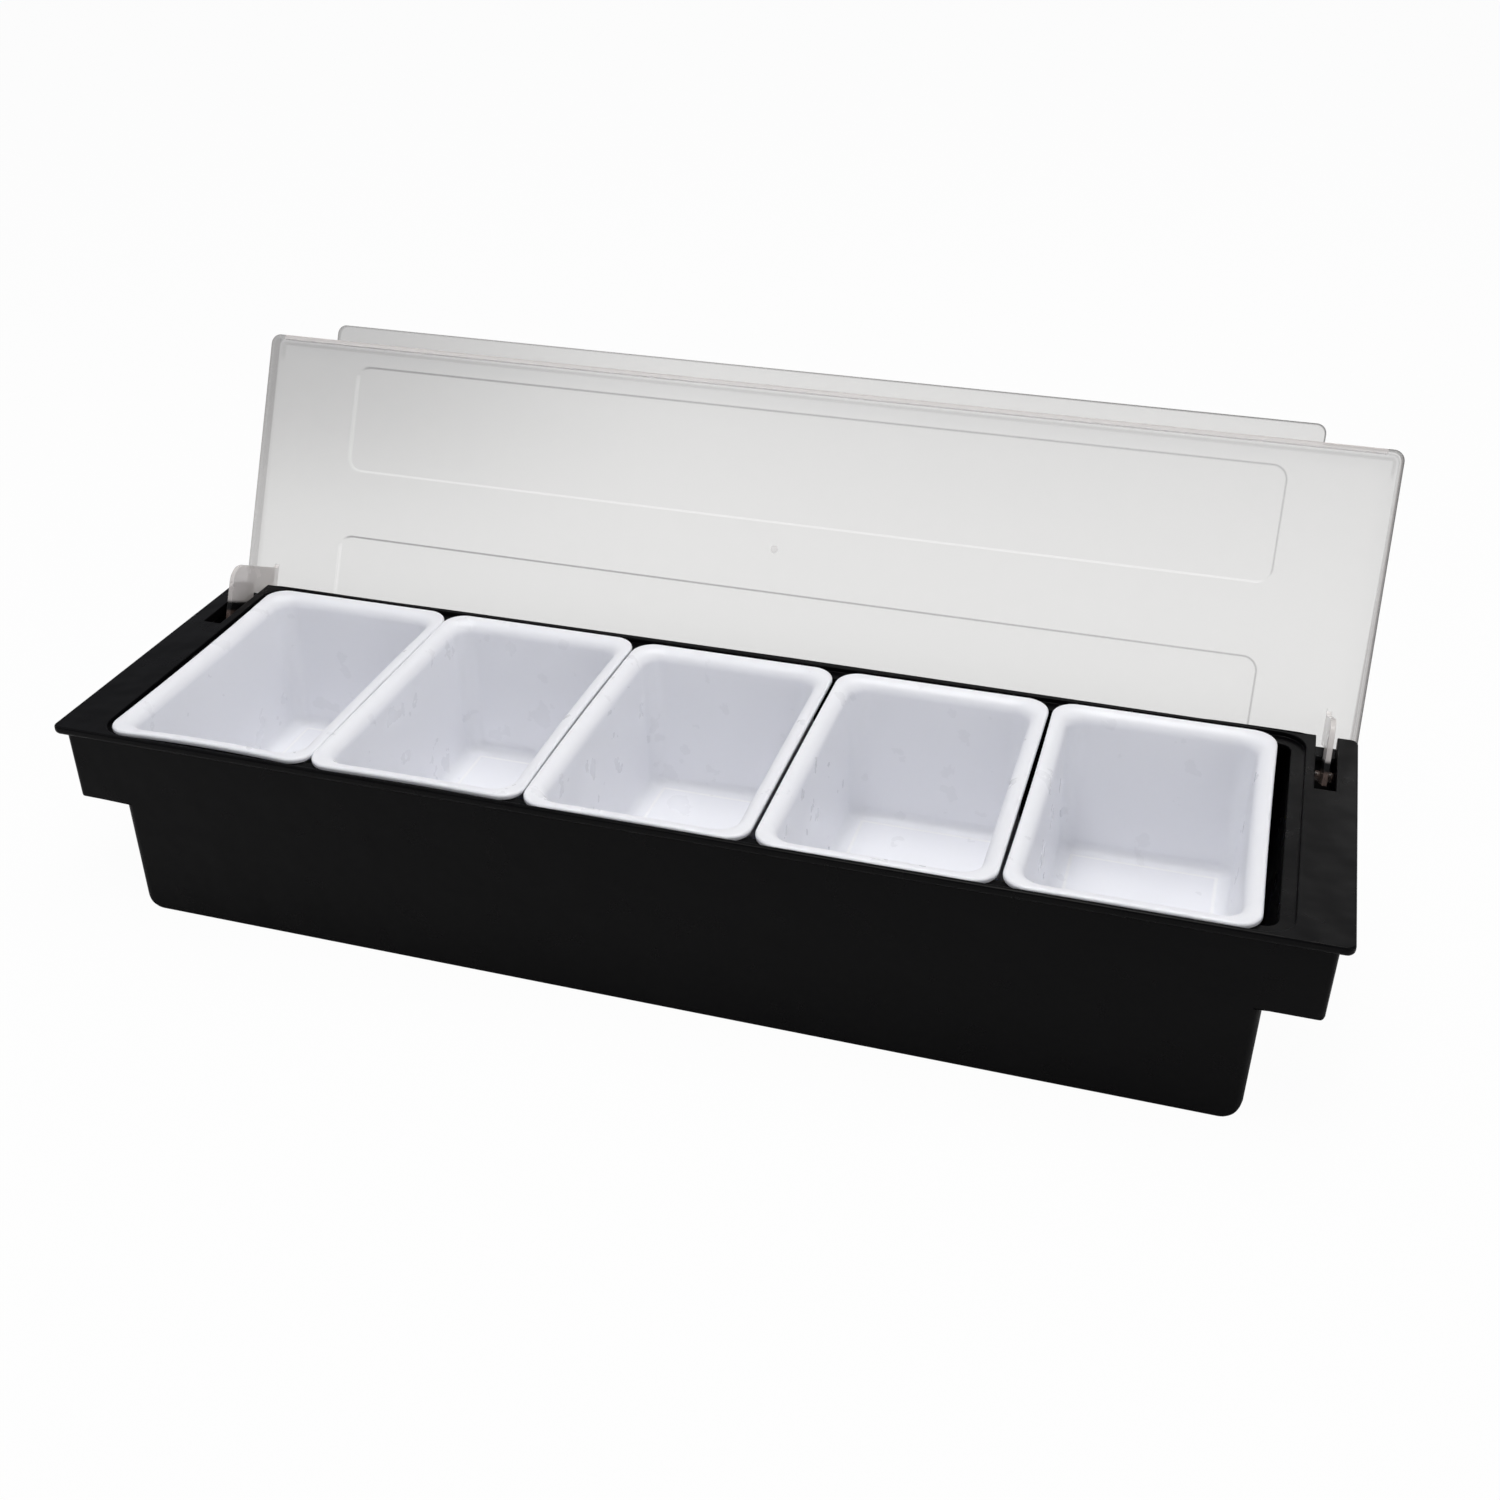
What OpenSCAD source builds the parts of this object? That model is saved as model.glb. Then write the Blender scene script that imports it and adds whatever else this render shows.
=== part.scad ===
// Condiment caddy: a tub for ice with a wide rim, five lift-out food pans and one hinged lid.
// Millimetres. +X to the right, +Y to the back, +Z up. Origin: centre of the tub's underside.
// The lid is drawn open, as it stands when it is swung back against its stop.

/* [Food pans] */
// Width of one pan across its rim
pan_w = 88.2; // [80:0.2:100]
// Depth of one pan's rim from front to back
pan_d = 133.8; // [120:0.2:150]
// Height of a pan from its underside to its rim
pan_h = 66.3; // [55:0.1:90]
// Gap between two neighbouring pan rims
pan_gap = 0.7; // [0.3:0.1:1.5]
// Thickness of a pan's rim
pan_rim_t = 2.3; // [2.2:0.1:4]
// Width of the flat band on top of a pan's rim
pan_band = 4.7; // [4.3:0.1:6]
// Corner radius of a pan's rim
pan_r = 9.5; // [7:0.5:11]
// Rounding along the outer edge of a pan's rim
pan_edge_r = 1.1; // [0.4:0.1:1.2]
// Rounding from the rim band into the pan's wall
pan_flare = 2.2; // [1.8:0.1:2.4]
// Wall thickness of a pan
pan_wall = 1.2; // [0.8:0.1:1.4]
// Corner radius of the pan's inside at its top
pan_in_r = 8; // [7.6:0.1:12]
// How much each pan wall leans in towards the floor
pan_draft = 1.5; // [0.5:0.1:1.5]
// Rounding between a pan's walls and its floor
pan_floor_r = 6; // [2:0.5:6]

/* [Seat and rim] */
// Depth of the seat that the pans hang in
seat_d = 2; // [1:0.1:2.2]
// Clearance from the pans' rims to the seat, front and back
seat_clear = 1; // [0.9:0.1:2]
// How far the row of pans sits towards the front
row_front = 0.6; // [0:0.1:0.6]
// Play of the whole row of pans along the seat
row_play = 12.2; // [8:0.1:16]
// Space at the left end of the row
row_left = 1.6; // [1:0.1:4]
// Corner radius of the seat
seat_r = 10; // [8:0.5:12]
// Width of the seat at the two ends
seat_end_w = 5.4; // [4.8:0.1:7]
// Corner radius of the opening inside the seat
open_r = 5; // [3:0.5:7]
// Clearance from the pans' walls to the opening
open_clear = 0.9; // [0.9:0.1:1.4]
// Width of the raised border, front and back
border_w = 2; // [1.6:0.1:4]
// Bulge of the back border between the hinge slots
back_bulge = 1.4; // [0.4:0.1:1.8]
// Width of the flat ledge at each end
ledge_w = 19.5; // [19:0.1:24]
// Height of the rim's outer lip
lip_h = 3.8; // [3.2:0.1:4.6]
// Corner radius of the rim
rim_r = 3; // [2.4:0.1:8]
// Rounding along the rim's top edge
lip_top_r = 0.9; // [0.4:0.1:1]
// Rounding along the rim's lower edge
lip_low_r = 1.8; // [0.5:0.1:2]

/* [Tub] */
// Room for ice between the pans and the tub's floor
ice_gap = 16.2; // [10:0.1:40]
// Wall and floor thickness of the tub
wall = 1.8; // [1.5:0.1:2.2]
// Step from the opening's edge back to the wall, front and back
wall_step = 4.1; // [2:0.1:4.2]
// Step from the opening's edge in to the wall, at each end
end_step = 1.7; // [0.8:0.1:2]
// How much each tub wall leans in towards the floor
draft = 0.8; // [0.4:0.1:1.2]
// Corner radius of the tub at its top
tub_r = 4; // [3.6:0.1:8]
// Rounding along the tub's bottom edge
tub_low_r = 0.9; // [0.5:0.1:2]
// Rounding between the tub's floor and its two end walls
end_foot_r = 9; // [5:0.5:12]

/* [End ledges] */
// Height of the skirt under each end ledge
ledge_h = 33; // [33:0.1:44]
// Inset of the skirt from the end of the rim
ledge_inset = 4.45; // [3.6:0.05:6]
// Wall thickness of the skirt
skirt_wall = 2.2; // [1.6:0.1:2.3]
// Corner radius of the skirt
ledge_r = 2.4; // [2:0.1:5]
// Rounding along the bottom edge at the skirt's far end
ledge_foot_r = 1.5; // [0.5:0.1:1.6]

/* [Hinge slots] */
// Width of the slot for a lid ear
slot_w = 8; // [6:0.1:9]
// Pad on the skirt that takes the outer peg
peg_pad = 1.2; // [1:0.05:2]
// Thickness of the cheek that takes the inner peg
cheek_t = 2; // [1.5:0.1:3]
// Reach of the cheeks forward of the hinge axis
cheek_front = 7; // [5:0.5:10]
// Reach of the cheeks below the hinge axis
cheek_low = 7; // [5:0.5:10]
// Distance from the hinge axis to the back of the slot
slot_back = 2.5; // [2:0.1:2.8]
// Depth of the notch behind the slot
notch_d = 5.3; // [4.8:0.1:5.6]
// Thickness of the notch's floor
notch_t = 2; // [1.5:0.1:2.2]
// Clearance from a lid ear to the slot's front edge
slot_clear = 1.05; // [0.3:0.05:1.5]

/* [Hinge] */
// Distance from the rim's back edge in to the hinge axis
pivot_in = 10.4; // [10:0.1:11]
// Distance from the rim's top down to the hinge axis
pivot_drop = 12.5; // [12:0.1:13]
// Radius of the pegs on the lid's ears
peg_r = 2; // [1.5:0.1:2.2]
// Clearance round a peg in its hole
peg_clear = 0.08; // [0.04:0.01:0.1]
// Reach of a peg into its hole
peg_reach = 1.6; // [1:0.1:1.8]
// Depth of the outer peg's blind hole
peg_hole = 2; // [1.9:0.1:2.6]
// Angle that the lid swings back
open_angle = 116.5; // [100:0.5:118]
// Clearance at the lid's two stops
stop_gap = 0.3; // [0.2:0.05:0.6]

/* [Lid] */
// Thickness of the lid
lid_t = 2; // [1.5:0.1:3]
// Height of the skirt under the lid
lid_skirt_h = 5; // [4.8:0.1:8]
// Thickness of the lid's skirt
lid_skirt_t = 1.8; // [1.2:0.1:2.4]
// Corner radius of the lid
lid_r = 4.5; // [3:0.5:8]
// How far the lid reaches past each end of the rim
lid_end_over = 0.7; // [0:0.1:1.5]
// How far the lid reaches past the rim's front edge
lid_over = 0.3; // [0:0.1:1]
// Reach of the finger lip
grip_reach = 7.6; // [4:0.1:14]
// Inset of the finger lip from each end of the lid
grip_inset = 30.45; // [15:0.05:60]
// Corner radius of the finger lip
grip_r = 4; // [2:0.5:6]
// Thickness of an ear under the lid
ear_t = 2; // [1.6:0.1:3.5]
// How far an ear stands outward from the middle of its slot
ear_shift = 0.25; // [0:0.05:0.6]
// Width of the ear's neck
neck_w = 12; // [8:0.5:12]
// Reach of an ear below the hinge axis
ear_low = 20.5; // [16:0.5:22]
// Reach of an ear behind the hinge axis
ear_back = 2.3; // [2:0.1:2.5]
// Radius of the ear's boss round a peg
boss_r = 3; // [2.6:0.1:3]
// Corner radius of an ear
ear_r = 8; // [2:0.5:9]
// Rounding where an ear's front meets the lid
ear_root_r = 3; // [1:0.5:4]
// How deep the two panels are sunk into the lid's inner face
panel_sink = 0.4; // [0.2:0.1:0.8]
// Corner radius of the sunk panels
panel_r = 6; // [3:0.5:12]
// Inset of the panels from each end of the lid
panel_inset = 42.6; // [30:0.1:60]
// Inset of the front panel from the lid's front edge
front_inset = 10.2; // [5:0.1:20]
// Front to back size of the front panel
front_panel = 47; // [30:0.1:55]
// Inset of the rear panel from the lid's back edge
rear_inset = 14.4; // [13:0.1:20]
// Front to back size of the rear panel
rear_panel = 38.2; // [30:0.1:46]
// Height of the moulding mark in the middle
gate_h = 0.4; // [0.2:0.1:0.8]
// Radius of the moulding mark
gate_r = 1.6; // [1:0.1:3]
// Distance from the front edge to the moulding mark
gate_in = 68.7; // [62:0.1:75]

/* [Hidden] */
$fn = 64;
over = 1;
edge_seat = 0.02;
pan_count = 5;
half = 0.5;
right_angle = 90;
half_turn = 180;
sweep_clear = 0.4;
bridge_clear = 1.5;
least_r = 0.4;
bulge_steps = 24;

// the row of pans and the seat
row_len = pan_count * pan_w + (pan_count - 1) * pan_gap;
seat_x = (row_len + row_play) * half;
seat_y = pan_d * half + seat_clear;
pan_x0 = -seat_x + row_left + pan_w * half;
pan_pitch = pan_w + pan_gap;
cup_x = pan_w * half - pan_band - pan_flare;
cup_y = pan_d * half - pan_band - pan_flare;
open_x = seat_x - seat_end_w;
open_y = cup_y + pan_wall + open_clear;
rim_x = seat_x + ledge_w;
rim_y = seat_y + border_w;
pan_proud = pan_rim_t - seat_d;
body_h = pan_h - pan_proud + ice_gap + wall;
seat_z = body_h - seat_d;
pan_top = seat_z + pan_rim_t;
pan_low = pan_top - pan_h;

// the tub, sizes at the rim's top plane
tub_y = open_y + wall_step + wall;
tub_x = open_x - end_step + wall;
tub_end_r = tub_r - draft;
tub_in_r = max(tub_end_r - wall, least_r);
ledge_x = rim_x - ledge_inset;
ledge_z = body_h - ledge_h;
ledge_draft = draft * ledge_h / body_h;
in_foot_r = end_foot_r - wall;
in_x_low = tub_x - draft - wall;
in_x_ledge = tub_x - ledge_draft - wall;
end_wall_x = open_x + wall;

// the hinge
pivot_y = rim_y - pivot_in;
pivot_z = body_h - pivot_drop;
slot_x = ledge_x - skirt_wall - peg_pad - slot_w * half;
floor_up = pivot_drop - notch_d;
ca = cos(open_angle);
sa = sin(open_angle);
stop_u = floor_up * sa - pivot_in * ca;
neck_u = stop_u + stop_gap;
ear_u = neck_u + neck_w;
bridge_z = slot_back * sa + floor_up * ca - bridge_clear;
ear_swing = sqrt(ear_u * ear_u + ear_low * ear_low);
slab_low = pivot_drop - lip_h;
slot_u = sqrt(ear_swing * ear_swing - slab_low * slab_low) + slot_clear;
rim_swing = sqrt(pivot_in * pivot_in + pivot_drop * pivot_drop);

// the lid, seen flat, from the hinge axis
lid_x = rim_x + lid_end_over;
lid_front = 2 * rim_y - pivot_in + lid_over;
lid_back = pivot_in - lid_over * half;
lid_mid = (lid_front - lid_back) * half;
lid_d = lid_front + lid_back;
lid_low = pivot_drop + stop_gap;
lid_up = pivot_drop + lid_skirt_h;
grip_x = lid_x - grip_inset;
panel_x = lid_x - panel_inset;

housing_color = [0.05, 0.05, 0.055];
lid_color = [0.82, 0.83, 0.85, 0.55];
pan_color = [0.95, 0.95, 0.96];

// a rectangle with round corners
module round_rect(w, d, r) {
    square([w - 2 * r, d], center = true);
    square([w, d - 2 * r], center = true);
    for (sx = [-1, 1])
        for (sy = [-1, 1])
            translate([sx * (w * half - r), sy * (d * half - r)])
                circle(r);
}

// what a rounding takes off a corner that points right and up
module corner_off(r) {
    translate([-r, -r])
        difference() {
            square([r + over, r + over]);
            circle(r);
        }
}

// a block whose sides follow one outline; the outline starts on the corner's own axis
module banded(hx, hy, z0, z1) {
    translate([-hx, -hy, z0])
        cube([2 * hx, 2 * hy, z1 - z0]);
    for (side = [0, 1])
        rotate([0, 0, half_turn * side]) {
            translate([hx, 0, 0])
                rotate([right_angle, 0, 0])
                    linear_extrude(2 * hy, center = true)
                        children();
            rotate([0, 0, right_angle])
                translate([hy, 0, 0])
                    rotate([right_angle, 0, 0])
                        linear_extrude(2 * hx, center = true)
                            children();
            translate([hx, hy, 0])
                rotate_extrude(angle = right_angle)
                    children();
            translate([-hx, hy, 0])
                rotate([0, 0, right_angle])
                    rotate_extrude(angle = right_angle)
                        children();
        }
}

// outline of a wall that leans in towards a rounded foot
module leaning(r_top, r_low, z0, z1, foot) {
    polygon([[0, z0 + foot], [r_low, z0 + foot], [r_top, z1], [0, z1]]);
    translate([0, z0])
        square([r_low - foot, foot]);
    intersection() {
        translate([r_low - foot, z0 + foot])
            circle(foot);
        translate([0, z0])
            square([r_low, foot]);
    }
}

module rim_outline() {
    difference() {
        translate([0, body_h - lip_h])
            square([rim_r, lip_h]);
        translate([rim_r, body_h])
            corner_off(lip_top_r);
        translate([rim_r, body_h - lip_h])
            mirror([0, 1])
                corner_off(lip_low_r);
    }
}

// what a rounding along Y takes off a bottom edge at both ends
module foot_cut(x, z, r) {
    rotate([right_angle, 0, 0])
        linear_extrude(2 * rim_y + over, center = true)
            for (side = [0, 1])
                mirror([side, 0])
                    translate([x, z])
                        mirror([0, 1])
                            corner_off(r);
}

module tub_solid() {
    difference() {
        banded(tub_x - tub_r, tub_y - tub_r, 0, body_h - lip_top_r)
            leaning(tub_r, tub_end_r, 0, body_h - lip_top_r, tub_low_r);
        foot_cut(tub_x - draft + draft * end_foot_r / body_h, 0, end_foot_r);
    }
}

module ledge_solid() {
    difference() {
        banded(ledge_x - ledge_r, tub_y - ledge_r, ledge_z, body_h - lip_top_r)
            polygon([
                [0, ledge_z],
                [ledge_r - ledge_draft, ledge_z],
                [ledge_r, body_h - lip_top_r],
                [0, body_h - lip_top_r]
            ]);
        foot_cut(ledge_x - ledge_draft + ledge_draft * ledge_foot_r / ledge_h, ledge_z, ledge_foot_r);
    }
}

module rim_solid() {
    banded(rim_x - rim_r, rim_y - rim_r, body_h - lip_h, body_h)
        rim_outline();
    back_border();
}

// the back border swells a little between the hinge slots
module back_border() {
    reach = slot_x - slot_w * half - cheek_t;
    y0 = rim_y - lip_top_r;
    translate([0, 0, body_h - lip_h + lip_low_r])
        linear_extrude(lip_h - lip_low_r)
            polygon([
                for (i = [0:bulge_steps])
                    let (t = 2 * i / bulge_steps - 1)
                        [reach * t, y0 + (back_bulge + lip_top_r) * (1 - t * t)]
            ]);
}

// the space for ice and pans, with walls that lean like the outside
module tub_space() {
    top_z = body_h - lip_h;
    intersection() {
        translate([0, 0, wall])
            linear_extrude(top_z - wall)
                round_rect(2 * open_x, 2 * (tub_y - wall), tub_in_r);
        difference() {
            rotate([right_angle, 0, 0])
                linear_extrude(2 * rim_y, center = true)
                    polygon([
                        [-open_x, top_z],
                        [-in_x_ledge, ledge_z],
                        [-in_x_low, wall],
                        [in_x_low, wall],
                        [in_x_ledge, ledge_z],
                        [open_x, top_z]
                    ]);
            foot_cut(in_x_low + draft * in_foot_r / body_h, wall, in_foot_r);
        }
        rotate([right_angle, 0, right_angle])
            linear_extrude(2 * rim_x, center = true)
                polygon([
                    [-(tub_y - wall), top_z],
                    [-(tub_y - draft - wall), wall],
                    [tub_y - draft - wall, wall],
                    [tub_y - wall, top_z]
                ]);
    }
}

// the hollow under an end ledge, open underneath
module ledge_hollow() {
    out_x = ledge_x - ledge_draft - skirt_wall;
    top_z = body_h - lip_h;
    y_top = tub_y - skirt_wall;
    y_low = y_top - ledge_draft;
    rotate([right_angle, 0, right_angle])
        translate([0, 0, end_wall_x])
            linear_extrude(out_x - end_wall_x)
                polygon([[-y_top, top_z], [-y_low, ledge_z - over], [y_low, ledge_z - over], [y_top, top_z]]);
}

// the cheeks beside a slot, which hold the lid's pegs
module cheeks() {
    y0 = pivot_y - cheek_front;
    z0 = pivot_z - cheek_low;
    in_x = slot_x - slot_w * half - cheek_t;
    out_x = slot_x + slot_w * half;
    pad_t = ledge_x - ledge_draft - skirt_wall - out_x + edge_seat;
    translate([in_x, y0, z0])
        cube([cheek_t, tub_y - skirt_wall - ledge_draft - y0 + 2 * ledge_draft, body_h - lip_h - z0]);
    translate([out_x, y0, z0])
        cube([pad_t, tub_y - skirt_wall - ledge_draft - y0 + 2 * ledge_draft, body_h - lip_h - z0]);
}

// the pocket behind a slot: floor and two short sides under the rim
module notch_pocket() {
    y0 = pivot_y + slot_back;
    z0 = body_h - notch_d - notch_t;
    x0 = slot_x - slot_w * half - cheek_t;
    translate([x0, y0, z0])
        cube([slot_w + 2 * cheek_t, rim_y - lip_low_r - y0, notch_d + notch_t - lip_h]);
    translate([x0, y0, z0])
        cube([slot_w + 2 * cheek_t, rim_y - y0, notch_t]);
}

// what is cut for an ear: slot, notch and peg holes
module slot_cut() {
    x0 = slot_x - slot_w * half;
    translate([x0, pivot_y - slot_u, pivot_z])
        cube([slot_w, slot_u + slot_back, pivot_drop + over]);
    translate([x0, pivot_y, body_h - notch_d])
        cube([slot_w, pivot_in + over, notch_d + over]);
    translate([x0 - cheek_t - over, pivot_y, pivot_z])
        rotate([0, right_angle, 0])
            cylinder(h = cheek_t + over + slot_w + peg_hole, r = peg_r + peg_clear);
}

module both_ends() {
    children();
    mirror([1, 0, 0])
        children();
}

module housing() {
    color(housing_color)
        difference() {
            union() {
                difference() {
                    union() {
                        tub_solid();
                        ledge_solid();
                        rim_solid();
                    }
                    both_ends()
                        ledge_hollow();
                    tub_space();
                    translate([0, 0, body_h - lip_h - over])
                        linear_extrude(lip_h + 2 * over)
                            round_rect(2 * open_x, 2 * open_y, open_r);
                    translate([0, 0, seat_z])
                        linear_extrude(seat_d + over)
                            round_rect(2 * seat_x, 2 * seat_y, seat_r);
                }
                both_ends() {
                    cheeks();
                    notch_pocket();
                }
            }
            both_ends()
                slot_cut();
        }
}

// one ear, its outline forward (u) and up (v) from the hinge axis
module ear_outline() {
    translate([neck_u, bridge_z - ear_r])
        square([neck_w, lid_up + lid_t * half - bridge_z + ear_r]);
    translate([-ear_back, bridge_z - ear_r])
        square([ear_back + boss_r, ear_r - bridge_z]);
    circle(boss_r);
    difference() {
        translate([-ear_back, -ear_low])
            square([ear_u + ear_back, ear_low + bridge_z]);
        translate([ear_u, -ear_low])
            mirror([0, 1])
                corner_off(ear_r);
    }
    difference() {
        translate([ear_u - ear_t, lid_up - ear_root_r])
            square([ear_root_r + ear_t, ear_root_r + lid_t * half]);
        translate([ear_u + ear_root_r, lid_up - ear_root_r])
            circle(ear_root_r);
    }
}

module ear() {
    translate([slot_x + ear_shift + ear_t * half, 0, 0])
        rotate([right_angle, 0, -right_angle])
            linear_extrude(ear_t)
                ear_outline();
    translate([slot_x - slot_w * half - peg_reach, 0, 0])
        rotate([0, right_angle, 0])
            cylinder(h = slot_w + 2 * peg_reach, r = peg_r);
}

// room for a shallow panel sunk into the lid's inner face
module sunk_panel(depth, mid) {
    translate([0, -mid, lid_up - over])
        linear_extrude(over + panel_sink)
            round_rect(2 * panel_x, depth, panel_r);
}

// the lid's plate and its finger lip
module lid_plate() {
    difference() {
        union() {
            translate([0, -lid_mid, lid_up])
                linear_extrude(lid_t)
                    round_rect(2 * lid_x, lid_d, lid_r);
            translate([0, -lid_front, lid_up])
                linear_extrude(lid_t)
                    round_rect(2 * grip_x, 2 * grip_reach, grip_r);
        }
        sunk_panel(front_panel, lid_front - front_inset - front_panel * half);
        sunk_panel(rear_panel, -lid_back + rear_inset + rear_panel * half);
    }
}

module lid_skirt() {
    skirt_h = lid_up - lid_low;
    difference() {
        translate([0, -lid_mid, lid_low])
            linear_extrude(skirt_h)
                difference() {
                    round_rect(2 * lid_x, lid_d, lid_r);
                    round_rect(2 * (lid_x - lid_skirt_t), lid_d - 2 * lid_skirt_t, lid_r - lid_skirt_t);
                }
        translate([-lid_x - over, 0, pivot_drop])
            cube([2 * (lid_x + over), lid_back + over, lid_skirt_h]);
        translate([-lid_x - over, 0, 0])
            rotate([0, right_angle, 0])
                cylinder(h = 2 * (lid_x + over), r = rim_swing + sweep_clear);
    }
}

// the lid as it lies when shut, seen from the hinge axis
module lid_flat() {
    lid_plate();
    lid_skirt();
    translate([0, gate_in - lid_front, lid_up - gate_h])
        cylinder(h = gate_h, r = gate_r);
    both_ends()
        ear();
}

module lid() {
    color(lid_color)
        translate([0, pivot_y, pivot_z])
            rotate([-open_angle, 0, 0])
                lid_flat();
}

// outline of a pan's rim, from the axis of its corner
module pan_rim_outline() {
    difference() {
        translate([0, seat_z])
            square([pan_r, pan_rim_t]);
        translate([pan_r, pan_top])
            corner_off(pan_edge_r);
    }
}

module pan_space_outline() {
    leaning(pan_in_r, pan_in_r - pan_draft, pan_low + pan_wall, pan_top, pan_floor_r);
    difference() {
        translate([0, pan_top - pan_flare])
            square([pan_in_r + pan_flare, pan_flare]);
        translate([pan_in_r + pan_flare, pan_top - pan_flare])
            circle(pan_flare);
    }
}

module pan(i) {
    mid_x = pan_x0 + i * pan_pitch;
    out_r = pan_in_r + pan_wall;
    color(pan_color)
        translate([mid_x, -row_front, 0])
            difference() {
                union() {
                    banded(pan_w * half - pan_r, pan_d * half - pan_r, seat_z, pan_top)
                        pan_rim_outline();
                    banded(cup_x - pan_in_r, cup_y - pan_in_r, pan_low, pan_top - pan_edge_r)
                        leaning(out_r, out_r - pan_draft, pan_low, pan_top - pan_edge_r,
                            pan_floor_r + pan_wall);
                }
                banded(cup_x - pan_in_r, cup_y - pan_in_r, pan_low + pan_wall, pan_top + edge_seat)
                    pan_space_outline();
            }
}

module insert_1() { pan(0); }
module insert_2() { pan(1); }
module insert_3() { pan(2); }
module insert_4() { pan(3); }
module insert_5() { pan(4); }

housing();
lid();
insert_1();
insert_2();
insert_3();
insert_4();
insert_5();
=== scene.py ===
"""The look of a condiment caddy: black tub, white lift-out pans and a clear flip lid.

The sizes come from the CAD frame. Everything is in metres, with +X to the right,
+Y to the back and +Z up, and the origin under the middle of the tub.
"""
import math

import bmesh
import bpy
from bpy.props import FloatProperty, FloatVectorProperty, PointerProperty
from mathutils import Matrix, Vector


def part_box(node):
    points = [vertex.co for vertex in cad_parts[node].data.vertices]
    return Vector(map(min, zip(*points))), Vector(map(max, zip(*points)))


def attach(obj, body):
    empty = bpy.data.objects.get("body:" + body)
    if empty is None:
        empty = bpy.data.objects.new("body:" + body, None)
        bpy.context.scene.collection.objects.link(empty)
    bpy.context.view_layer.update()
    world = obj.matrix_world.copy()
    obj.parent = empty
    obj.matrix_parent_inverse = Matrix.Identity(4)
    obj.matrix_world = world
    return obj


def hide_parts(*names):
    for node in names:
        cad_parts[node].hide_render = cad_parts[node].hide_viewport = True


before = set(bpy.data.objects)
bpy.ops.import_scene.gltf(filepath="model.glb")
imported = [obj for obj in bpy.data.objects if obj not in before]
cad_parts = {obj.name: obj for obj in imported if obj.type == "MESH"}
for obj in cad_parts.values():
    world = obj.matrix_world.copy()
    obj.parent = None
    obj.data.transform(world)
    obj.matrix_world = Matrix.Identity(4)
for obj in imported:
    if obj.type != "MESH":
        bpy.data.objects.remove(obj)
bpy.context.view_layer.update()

bl_info = {
    "name": "Condiment Caddy",
    "version": (1, 0, 0),
    "blender": (4, 5, 0),
    "location": "View3D > Sidebar > Caddy",
    "description": "Dresses a condiment caddy with a flip lid around its CAD frame",
    "category": "Object",
}

MM = 0.001
HOUSING_LOW, HOUSING_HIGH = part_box("housing")
PAN_LOW, PAN_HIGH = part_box("insert_1")
RIM_Z = HOUSING_HIGH.z
PAN_COUNT = 5

# the lid as it stands open: its hinge axis, the way to its front edge and its outer face
HINGE_BACK = 59.5 * MM
HINGE_DROP = 12.5 * MM
HINGE = (0.0, HINGE_BACK, RIM_Z - HINGE_DROP)
OPEN_TURN = math.radians(116.5)
LID_ALONG = (0.0, -math.cos(OPEN_TURN), math.sin(OPEN_TURN))
LID_OUT = (0.0, math.sin(OPEN_TURN), math.cos(OPEN_TURN))
LID_HALF = 248.2 * MM
LID_FRONT = 129.7 * MM


def length(name, description, default, top=1.0):
    return FloatProperty(
        name=name, description=description, default=default,
        min=0.0, max=top, subtype="DISTANCE", unit="LENGTH", precision=5)


def colour(name, description, default):
    return FloatVectorProperty(
        name=name, description=description, default=default,
        size=4, min=0.0, max=1.0, subtype="COLOR")


def power(name, description, default):
    return FloatProperty(name=name, description=description, unit="POWER", default=default)


def share(name, description, default, top=1.0):
    return FloatProperty(
        name=name, description=description, default=default,
        min=0.0, max=top, subtype="FACTOR")


class CaddyPans(bpy.types.PropertyGroup):
    """Sizes of the lift-out pans"""
    width: length("Width", "Width of a pan's rim", PAN_HIGH.x - PAN_LOW.x)
    depth: length("Depth", "Depth of a pan's rim, front to back", PAN_HIGH.y - PAN_LOW.y)
    height: length("Height", "Height of a pan", PAN_HIGH.z - PAN_LOW.z)
    rim: length("Rim", "Thickness of a pan's rim", 2.3 * MM)
    band: length("Band", "Width of the flat band on the rim", 1.5 * MM)
    rim_radius: length("Rim corner", "Corner radius of the rim", 9.5 * MM)
    edge: length("Rim edge", "Rounding along the rim's outer edge", 1.1 * MM)
    flare: length("Flare", "Rounding from the rim into the wall", 5.4 * MM)
    wall: length("Wall", "Wall thickness", 1.2 * MM)
    draft: length("Draft", "How much the walls lean in", 1.5 * MM)
    corner: length("Inner corner", "Inner corner radius at the top", 8.0 * MM)
    foot: length("Floor edge", "Rounding between side walls and floor", 6.0 * MM)
    tuck: length("Floor edge tuck", "How much tighter that rounding is front and back", 2.2 * MM)
    panel: length("Floor panel", "Height of the raised floor panel", 0.3 * MM)


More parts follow.
